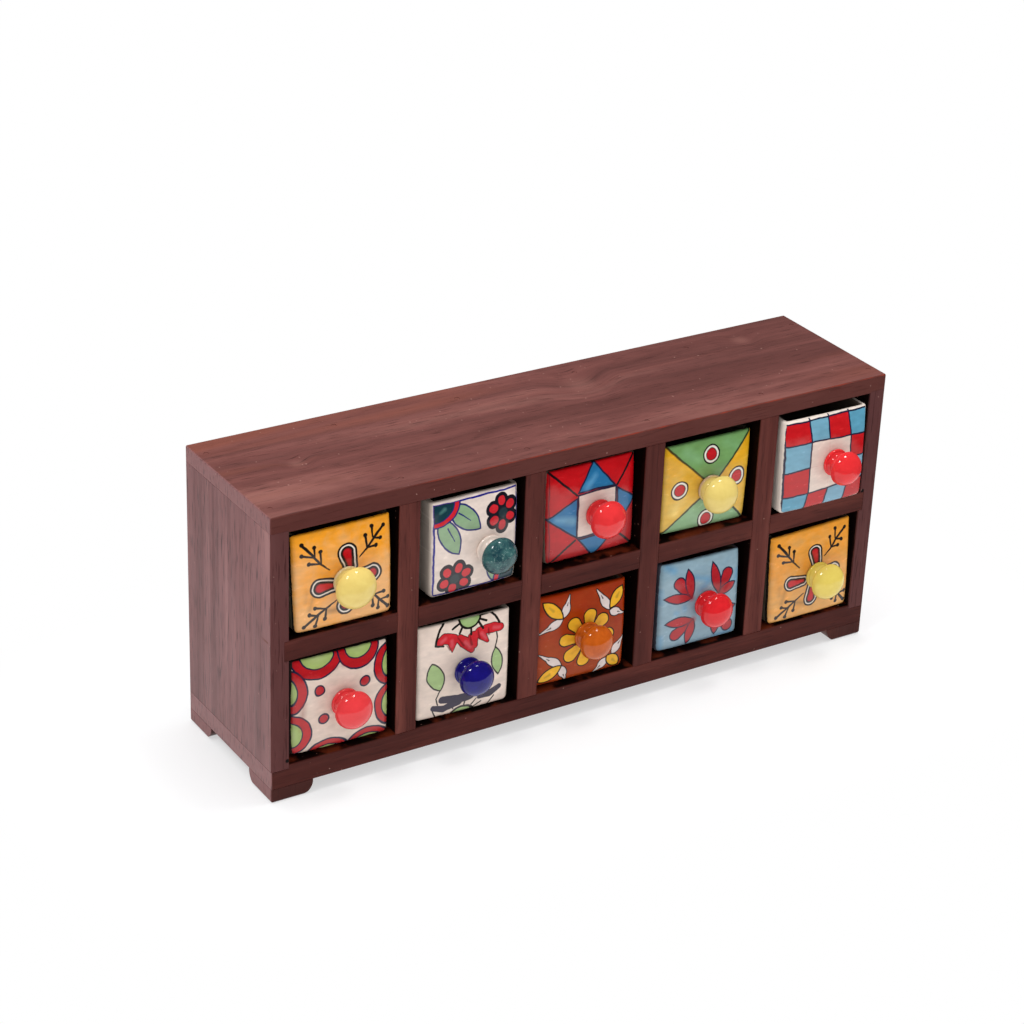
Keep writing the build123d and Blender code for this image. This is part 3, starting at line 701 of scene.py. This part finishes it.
# Painted reflection of the white table on the lower part of each front
PAINTED_TABLE_REFLECTION = rgb("e0cfc8")
# Painted shade inside each box
INSIDE_SHADE, INSIDE_SHADE_DARK = rgb("6f6357"), rgb("57493d")
INSIDE_SHADE_START, INSIDE_SHADE_FULL = 2.7, 3.3
RIM_LEVEL = 28.9


def painted_glaze(number, low, high):
    """Material of one drawer: plain glaze all over, and its painting on the front."""
    front = FRONTS[number]
    middle_x, half_width, depth_y = (low.x + high.x) / 2, (high.x - low.x) / 2, high.y - low.y
    material, make, shader, here = new_material(f"glaze_{number}")
    # The painting follows the skew of the front: across and up are fitted to its corners.
    (ax, az), (bx, bz), (cx, cz), (dx, dz) = FRONT_CORNERS[number]
    right = Vector(((bx - ax + cx - dx) / 4, (bz - az + cz - dz) / 4)) / FACE_HALF_WIDTH
    up = Vector(((ax + bx - cx - dx) / 4, (az + bz - cz - dz) / 4)) / FACE_HALF_HEIGHT
    mid = Vector(((ax + bx + cx + dx) / 4, (az + bz + cz + dz) / 4))
    back = Matrix(((right.x, up.x), (right.y, up.y))).inverted()
    moved = make.vector("SUBTRACT", here, (middle_x + mid.x * MM, low.y, low.z + mid.y * MM))
    across = make.vector("DOT_PRODUCT", moved, (back[0][0] / MM, 0.0, back[0][1] / MM))
    upward = make.vector("DOT_PRODUCT", moved, (back[1][0] / MM, 0.0, back[1][1] / MM))
    depth = make.times(make.parts(moved)[1], 1 / MM)
    flat = make.add("ShaderNodeCombineXYZ", across, upward, number * 7.3)
    # A brush in the hand wavers, slowly and quickly.
    plane = flat
    for scale, reach in ((0.09, 1.3), (0.38, 0.45)):
        sway = make.vector("SUBTRACT", make.noise(flat, scale, 1.0, colour=True), (0.5, 0.5, 0.5))
        plane = make.vector("ADD", plane, make.vector("SCALE", sway, scale=reach))
    plane = make.vector("MULTIPLY", plane, (1.0, 1.0, 0.0))
    washed = make.plus(make.noise(flat, 0.07, 4.0, 0.6, 0.4), make.times(upward, -0.006))
    painter = Painter(
        make.tree, plane, make.mix(make.ramp(washed, 0.34, 0.66), rgb(front.ground), rgb(front.wash))
    )
    front.paint(painter)
    # Glaze gathers in the brush marks. Below a slanted, wavering line the colour is paled towards cream as a
    # painted reflection of the white table.
    strokes = make.noise(make.vector("MULTIPLY", flat, (0.5, 1.0, 1.0)), 0.3, 2.0, 0.5)
    make.colour = make.vector("SCALE", painter.colour, scale=make.ramp(strokes, 0.3, 0.7, 0.9, 1.06))
    slope = make.plus(make.times_plus(across, 0.22, upward), make.times_plus(washed, 24.0, -12.0))
    thin = make.ramp(slope, 13.0, 6.0, smooth=True)
    make.stain(make.times(thin, front.haze), PAINTED_TABLE_REFLECTION)
    if front.rim:
        band = make.plus(upward, make.times(make.noise(flat, 0.5, 2.0), 1.2))
        chips = make.ramp(make.noise(flat, 1.1, 2.0, 0.6), 0.60, 0.64, 1.0, 0.0)
        make.stain(make.times(make.ramp(band, RIM_LEVEL, RIM_LEVEL + 0.4, 0.0, 0.9), chips), rgb(front.rim))
    painted = make.colour
    # The paint ends in a ragged line a little way round the walls, where a dark rim follows it.
    ragged = make.times_plus(make.noise(flat, 0.3, 2.0), 0.9, depth)
    uneven = make.ramp(make.noise(here, 60.0, 3.0), 0.4, 0.7)
    make.colour = make.mix(uneven, rgb(front.walls), rgb(front.walls, 0.84))
    if front.rim:
        begun = make.ramp(ragged, front.reach + 0.3, front.reach + 0.5)
        band = make.times(begun, make.ramp(ragged, front.reach + 2.6, front.reach + 2.0))
        make.stain(make.times(band, 0.9), rgb(front.rim))
    make.stain(make.ramp(ragged, front.reach + 0.62, front.reach + 0.42), painted)
    # Inside the box the cream glaze is painted an uneven dark grey-brown as painted shade.
    x, _, rise = make.parts(make.vector("SUBTRACT", here, (middle_x, 0.0, low.z)))
    inward = make.minus(half_width / MM, make.absolute(make.times(x, 1 / MM)))
    for face in (depth, make.minus(depth_y / MM, depth), make.times(rise, 1 / MM)):
        inward = make.smaller(inward, face)
    inside_shade = make.mix(make.ramp(make.noise(here, 70.0, 3.0, 0.6), 0.3, 0.7), INSIDE_SHADE, INSIDE_SHADE_DARK)
    make.stain(make.ramp(inward, INSIDE_SHADE_START, INSIDE_SHADE_FULL), inside_shade)
    make.dress(shader, (make.noise(here, 120.0, 1.0, 0.5), 0.25, 0.0006), IOR=1.47,
               Roughness=make.ramp(strokes, 0.3, 0.7, 0.18, 0.28),
               Specular_IOR_Level=make.ramp(thin, 0.0, 1.0, 0.1, front.shine))
    return material


FOOT_LINE = rgb("3a2c18")


def knob_glaze(name, knob, foot_y):
    material, make, shader, here = new_material(name)
    cloud = make.noise(here, 190.0, 3.0, 0.6, 0.5)
    mixed = make.ramp(cloud, 0.5 - knob.mottle, 0.5 + knob.mottle)
    make.colour = make.mix(mixed, rgb(knob.main), rgb(knob.shade))
    if knob.specks:
        fleck = make.ramp(make.noise(here, 900.0, 3.0, 0.7), 0.56, 0.70)
        patch = make.ramp(make.noise(here, 110.0, 1.0), 0.44, 0.60, 0.0, 0.6)
        make.stain(make.times(fleck, patch), rgb(knob.specks))
    if knob.foot:
        # The glaze runs thin on the foot.
        gap = make.plus(make.minus(foot_y, make.parts(here)[1]), make.times(cloud, 0.0008))
        make.stain(make.ramp(gap, knob.foot_height, knob.foot_height - 0.0008), rgb(knob.foot))
        if knob.foot_line:
            make.stain(make.ramp(gap, 0.0011, 0.0008, 0.0, 0.85), FOOT_LINE)
    make.dress(shader, (make.noise(here, 110.0, 1.0), 0.18, 0.0004), Roughness=0.06, IOR=1.52)
    return material


def metal(name, colour, rough, metallic=1.0):
    material, make, shader, here = new_material(name)
    spots = make.noise(here, 700.0, 3.0, 0.6)
    make.colour = make.mix(make.ramp(spots, 0.4, 0.7), rgb(colour), rgb(colour, 0.6))
    make.dress(shader, Metallic=metallic, Roughness=make.ramp(spots, 0.3, 0.7, rough * 0.8, rough * 1.3))
    return material


# The ceramic box in millimetres, and in how many steps its walls and arcs are cut.
WALL = 3.2
CORNER_RADIUS = 3.0
LEAST_RADIUS = 0.4
BASE_RADIUS = 2.8
RIM_RADIUS = 1.1
INNER_RADIUS = 2.4
LEVELS, STEPS_X, STEPS_Y, ARC_STEPS, RIM_STEPS = 18, 14, 18, 6, 5
# The share of the front's skew that is gone at the back.
SKEW_FADE = 0.6
# The front's pillow: how far it falls back at top and foot, at the sides, and how deep it reaches.
PILLOW_UP, PILLOW_ACROSS, PILLOW_DEPTH = 0.9, 0.7, 7.0
# The hand's waver, slow and quick: its scale, and how far it moves the wall in x, y and z.
SLOW_WAVE, SLOW_REACH = 0.03, (0.22, 0.25, 0.30)
QUICK_WAVE, QUICK_REACH = 0.12, (0.07, 0.09, 0.12)


def rounded_ring(half_x, half_y, radius):
    """Points of a rounded rectangle, anticlockwise, with the straight parts cut up."""
    points = []
    corners = ((1, 1, 0), (-1, 1, 90), (-1, -1, 180), (1, -1, 270))
    for index, (sx, sy, start) in enumerate(corners):
        cx, cy = sx * (half_x - radius), sy * (half_y - radius)
        for k in range(ARC_STEPS + 1):
            a = math.radians(start + 90 * k / ARC_STEPS)
            points.append((cx + radius * math.cos(a), cy + radius * math.sin(a)))
        nx, ny, _ = corners[(index + 1) % 4]
        steps = STEPS_X if index % 2 == 0 else STEPS_Y
        ex = nx * (half_x - radius) if index % 2 == 0 else sx * half_x
        ey = sy * half_y if index % 2 == 0 else ny * (half_y - radius)
        x0, y0 = points[-1]
        for k in range(1, steps):
            points.append((x0 + (ex - x0) * k / steps, y0 + (ey - y0) * k / steps))
    return points


def quarter(steps):
    """Sine and cosine at even steps through a quarter turn."""
    for k in range(steps + 1):
        angle = math.radians(90 * k / steps)
        yield math.sin(angle), math.cos(angle)


def drawer_box(number, low, high):
    """A thrown and pressed ceramic box: soft edges, walls that waver, a skewed front."""
    width, depth, height = [(high[i] - low[i]) / MM for i in range(3)]
    top = height - RIM_RADIUS
    # From the middle of the underside, up outside, over the rim and down inside: (inset, height)
    rings = [(BASE_RADIUS + 8.0, 0.0)]
    rings += [(BASE_RADIUS * (1 - sin), BASE_RADIUS * (1 - cos)) for sin, cos in quarter(ARC_STEPS)]
    rings += [(0.0, BASE_RADIUS + (top - BASE_RADIUS) * k / LEVELS) for k in range(1, LEVELS)]
    rings += [(RIM_RADIUS * (1 - cos), top + RIM_RADIUS * sin) for sin, cos in quarter(RIM_STEPS)]
    rings += [(WALL - RIM_RADIUS * (1 - sin), top + RIM_RADIUS * cos) for sin, cos in quarter(RIM_STEPS)]
    rings += [(WALL, top - (top - WALL - INNER_RADIUS) * k / LEVELS) for k in range(1, LEVELS)]
    rings += [(WALL + INNER_RADIUS * (1 - cos), WALL + INNER_RADIUS * (1 - sin))
              for sin, cos in quarter(ARC_STEPS)]
    rings.append((WALL + 10.0, WALL))

    (ax, az), (bx, bz), (cx, cz), (dx, dz) = FRONT_CORNERS[number]
    points = []
    for inset, z in rings:
        # The corner radius shrinks with the inset, but never to a sharp corner.
        radius = max(LEAST_RADIUS, CORNER_RADIUS - inset)
        for x, y in rounded_ring(width / 2 - inset, depth / 2 - inset, radius):
            s, t = (x / (width / 2) + 1) / 2, z / height
            front = 1.0 - SKEW_FADE * (y / depth + 0.5)
            wx = (1 - s) * (1 - t) * dx + s * (1 - t) * cx + (1 - s) * t * ax + s * t * bx
            wz = (1 - s) * (1 - t) * dz + s * (1 - t) * cz + (1 - s) * t * az + s * t * bz
            px, pz = x + (wx - x) * front, z + (wz - z) * front
            slow, quick = (
                noise.noise_vector(Vector((px * scale, y * scale, pz * scale + number * step)))
                for scale, step in ((SLOW_WAVE, 9.1), (QUICK_WAVE, 5.7))
            )
            sway = [a * u + b * v for a, u, b, v in zip(SLOW_REACH, slow, QUICK_REACH, quick)]
            px += sway[0]
            # The front swells a little: it falls back towards its edges.
            swell = PILLOW_UP * abs(2 * t - 1) ** 3 + PILLOW_ACROSS * abs(2 * s - 1) ** 4
            py = y + swell * max(0.0, 1.0 - (y + depth / 2) / PILLOW_DEPTH)
            py = min(max(py + sway[1], -depth / 2), depth / 2)
            pz = max(pz + sway[2] * t, 0.0)
            points.append(((low.x + high.x) / 2 + px * MM, (low.y + high.y) / 2 + py * MM, low.z + pz * MM))
    count = len(points) // len(rings)
    faces = []
    for r in range(len(rings) - 1):
        for k in range(count):
            n = (k + 1) % count
            faces.append((r * count + k, r * count + n, (r + 1) * count + n, (r + 1) * count + k))
    faces.append(tuple(reversed(range(count))))
    faces.append(tuple((len(rings) - 1) * count + k for k in range(count)))
    mesh = bpy.data.meshes.new(f"drawer_{number}_shell")
    mesh.from_pydata(points, [], faces)
    mesh.shade_smooth()
    mesh.update()
    return new_object(mesh.name, mesh)


top_low, top_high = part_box("top_board")
front_y, top_z = top_low.y, top_high.z
left_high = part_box("left_side")[1]
shelf_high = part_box("shelf")[1]
base_top_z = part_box("base_board")[1].z
# The space of the openings, in which the boards are painted nearly black as painted shade.
gap = (-left_high.x + 0.0001, base_top_z - 0.0001, top_low.z + 0.0001, front_y,
       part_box("back_panel")[0].y + 0.0005, (base_top_z, shelf_high.z))

wood_top = wood(
    "wood_top", 0, "542e2a", "7d4a44", "936258", 1.0, bands=0.5, streaks=0.22, pored=0.5, gap=gap,
    ends=(top_high.x, "8e6160"), edge=(front_y, "502520"), worn=(front_y, top_z, -0.112),
    knots=(
        ((0.031, 0.028, top_z), 0.030, 0.011),
        ((0.1455, 0.039, top_z), 0.016, 0.006),
        ((-0.150, 0.012, top_z), 0.014, 0.005),
    ),
)
wood_long = wood("wood_long", 0, "341513", "562822", "6e3930", 4.0, dusty=0.4, gap=gap, sheen=0.12,
                 ends=(top_high.x, "8e6160"), pored=0.3)
wood_up = wood("wood_up", 2, "3c1b18", "602f29", "784239", 7.0, dusty=0.35, gap=gap, sheen=0.12, pored=0.3)
wood_side = wood(
    "wood_side", 2, "5e3634", "905e5c", "a87872", 9.0, dusty=0.3, sheen_veil=0.15, gap=gap,
    edge=(front_y, "482220"), streaks=0.3, pored=1.0,
    dots=((-0.1808, 0.0232, 0.0011), (0.1813, 0.0935, 0.0011)),
)
wood_foot = wood("wood_foot", 2, "3a1b18", "5e302a", "774338", 12.0, dusty=0.2, sheen=0.3,
                 ends=(top_high.x, "885a59"), edge=(front_y, "44221e"))
wood_back = wood("wood_panel", 0, "35201a", "4f3329", "644538", 15.0, dusty=0.4, gap=gap)
nail_metal = metal("nail_metal", "5c322b", 0.5, 0.2)
bright_metal = metal("bright_metal", "b9b6b0", 0.3)

FINISHES = (
    # The top's nails were driven home before it was stained.
    (wood_top, ("top_board", "top_board_nails")),
    (wood_long, ("shelf", "base_board")),
    (wood_up, ("divider_1", "divider_2", "divider_3", "divider_4")),
    (wood_side, ("left_side", "right_side")),
    (wood_foot, ("foot_front_left", "foot_front_right", "foot_back_left", "foot_back_right")),
    (wood_back, ("back_panel",)),
    (nail_metal, ("base_board_nails", "foot_nails", "back_panel_pins")),
)
for material, names in FINISHES:
    for name in names:
        set_material(nodes[name], material)

Knob = namedtuple("Knob", "main shade mottle foot specks foot_height foot_line",
                  defaults=(0.30, None, None, 0.003, True))
KNOBS = {
    # colour, its darker shade, how evenly they mix, foot colour, specks, how far the foot colour reaches,
    # whether a dark line shows where the foot meets the drawer
    1: Knob("e8d078", "dcc06a", foot="c9b183"),
    2: Knob("3d6664", "1d3c44", 0.16, "e6d5c8", "8fada5", foot_height=0.0075, foot_line=False),
    3: Knob("ea383a", "d83032"),
    4: Knob("e8d078", "dec46c", foot="c0a080"),
    5: Knob("e93336", "d82b2e"),
    6: Knob("e74144", "da383b"),
    7: Knob("191276", "120c5c", 0.25),
    8: Knob("c85f18", "b04e0e", 0.20),
    9: Knob("e0262c", "cf2026"),
    10: Knob("e8d268", "dec45a", foot="d8c050"),
}

for number in range(1, 11):
    low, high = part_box(f"drawer_{number}_box")
    shell = drawer_box(number, low, high)
    set_material(shell, painted_glaze(number, low, high))
    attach(shell, f"drawer_{number}")
    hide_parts(f"drawer_{number}_box")
    back_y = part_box(f"drawer_{number}_knob")[1].y
    set_material(nodes[f"drawer_{number}_knob"], knob_glaze(f"knob_{number}", KNOBS[number], back_y))
    for part in ("stud", "nut"):
        set_material(nodes[f"drawer_{number}_{part}"], bright_metal)


FLOOR_REACH = 6.0
# Half the chest's width and depth, and its middle: the shadow on the floor fades out round these.
SHADOW_X, SHADOW_Y, SHADOW_MIDDLE_Y, SHADOW_FADE = 0.19, 0.047, 0.01, 0.13
# The white table that the glazes mirror
TABLE_X, TABLE_FADE = 0.36, 0.06
TABLE_FRONT, TABLE_FRONT_FADE = -0.34, 0.04
WHITE_LIGHT, TABLE_LIGHT, DARK_ROOM = (1.0, 1.0, 1.0, 1.0), (0.92, 0.92, 0.92, 1.0), (0.04, 0.04, 0.045, 1.0)

floor_mesh = bpy.data.meshes.new("floor")
corners = [(x * FLOOR_REACH, y * FLOOR_REACH, 0) for x, y in ((-1, -1), (1, -1), (1, 1), (-1, 1))]
floor_mesh.from_pydata(corners, [], [(0, 1, 2, 3)])
floor = new_object("floor", floor_mesh)
floor_material, make, floor_shader, here = new_material("floor")
make.colour = (0.93, 0.93, 0.93, 1.0)
make.dress(floor_shader, Roughness=0.8, Specular_IOR_Level=0.1)
# The paper under the object runs out into plain white, and the glazes mirror only the table.
ray = make.tree.nodes.new("ShaderNodeLightPath").outputs
floor_x, floor_y, _ = make.parts(here)
out_x = make.larger(make.minus(make.absolute(floor_x), SHADOW_X), 0.0)
out_y = make.larger(make.minus(make.absolute(make.minus(floor_y, SHADOW_MIDDLE_Y)), SHADOW_Y), 0.0)
away = make.vector("LENGTH", make.add("ShaderNodeCombineXYZ", out_x, out_y, 0.0))
lit_floor = make.add(
    "ShaderNodeMixShader", make.ramp(away, 0.0, SHADOW_FADE, 0.55, 1.0, smooth=True),
    floor_shader.outputs[0], make.add("ShaderNodeEmission", WHITE_LIGHT),
)
on_table = make.times(
    make.ramp(floor_x, -TABLE_X, -TABLE_X + TABLE_FADE), make.ramp(floor_x, TABLE_X, TABLE_X - TABLE_FADE)
)
on_table = make.times(on_table, make.ramp(floor_y, TABLE_FRONT, TABLE_FRONT + TABLE_FRONT_FADE))
mirrored = make.add("ShaderNodeEmission", make.mix(on_table, DARK_ROOM, TABLE_LIGHT))
by_camera = make.add("ShaderNodeMixShader", ray["Is Camera Ray"], floor_shader.outputs[0], lit_floor)
by_glaze = make.add("ShaderNodeMixShader", ray["Is Glossy Ray"], by_camera, mirrored)
make.put(make.tree.nodes["Material Output"].inputs["Surface"], by_glaze)
set_material(floor, floor_material)

world = bpy.data.worlds.new("studio")
bpy.context.scene.world = world
world.use_nodes = True
make = Maker(world.node_tree)
make.tree.nodes.clear()
ray = make.tree.nodes.new("ShaderNodeLightPath").outputs
room, dim, white = (
    make.add("ShaderNodeBackground", colour, 1.0)
    for colour in ((0.74, 0.74, 0.76, 1.0), (0.05, 0.05, 0.055, 1.0), WHITE_LIGHT)
)
mixed = make.add("ShaderNodeMixShader", ray["Is Glossy Ray"], room, dim)
mixed = make.add("ShaderNodeMixShader", ray["Is Camera Ray"], mixed, white)
make.put(make.tree.nodes.new("ShaderNodeOutputWorld").inputs["Surface"], mixed)


def softbox(name, place, target, size, power):
    light = bpy.data.lights.new(name, "AREA")
    light.size = size
    light.energy = power
    item = new_object(name, light)
    item.location = place
    item.rotation_euler = (target - place).to_track_quat("-Z", "Y").to_euler()
    return item


# The two windows that the knobs mirror stand round the chest's middle. The third light isn't mirrored.
CHEST_MIDDLE = Vector((0.0, 0.0, 0.08))
WINDOW_DISTANCE, WINDOW_SIZE, WINDOW_POWER = 2.4, 0.44, 13.0
for name, direction in (("window_a", (-0.55, -0.12, 0.83)), ("window_b", (0.18, -0.05, 0.97))):
    place = Vector(direction).normalized() * WINDOW_DISTANCE + CHEST_MIDDLE
    softbox(name, place, CHEST_MIDDLE, WINDOW_SIZE, WINDOW_POWER)
overhead = softbox("overhead", Vector((0.15, 0.1, 2.0)), Vector((0.0, 0.0, 0.1)), 2.2, 17.0)
overhead.visible_glossy = False

# The camera, fitted to the corners of the boards and openings in the photo
CAMERA_PLACE = (-0.736592, -1.100156, 0.768759)
CAMERA_TURN, CAMERA_FALL, CAMERA_ROLL = math.radians(32.794), math.radians(26.625), math.radians(2.301)
CAMERA_LENS = 97.1
forward = Vector((
    math.sin(CAMERA_TURN) * math.cos(CAMERA_FALL),
    math.cos(CAMERA_TURN) * math.cos(CAMERA_FALL),
    -math.sin(CAMERA_FALL),
))
level = Vector((math.cos(CAMERA_TURN), -math.sin(CAMERA_TURN), 0.0))
upright = level.cross(forward)
right = level * math.cos(CAMERA_ROLL) + upright * math.sin(CAMERA_ROLL)
upward = -level * math.sin(CAMERA_ROLL) + upright * math.cos(CAMERA_ROLL)
camera_data = bpy.data.cameras.new("camera")
camera_data.lens = CAMERA_LENS
camera = new_object("camera", camera_data)
rows = zip(right, upward, -forward, CAMERA_PLACE)
camera.matrix_world = Matrix((*rows, (0.0, 0.0, 0.0, 1.0)))
bpy.context.scene.camera = camera
bpy.context.scene.view_settings.view_transform = "Standard"
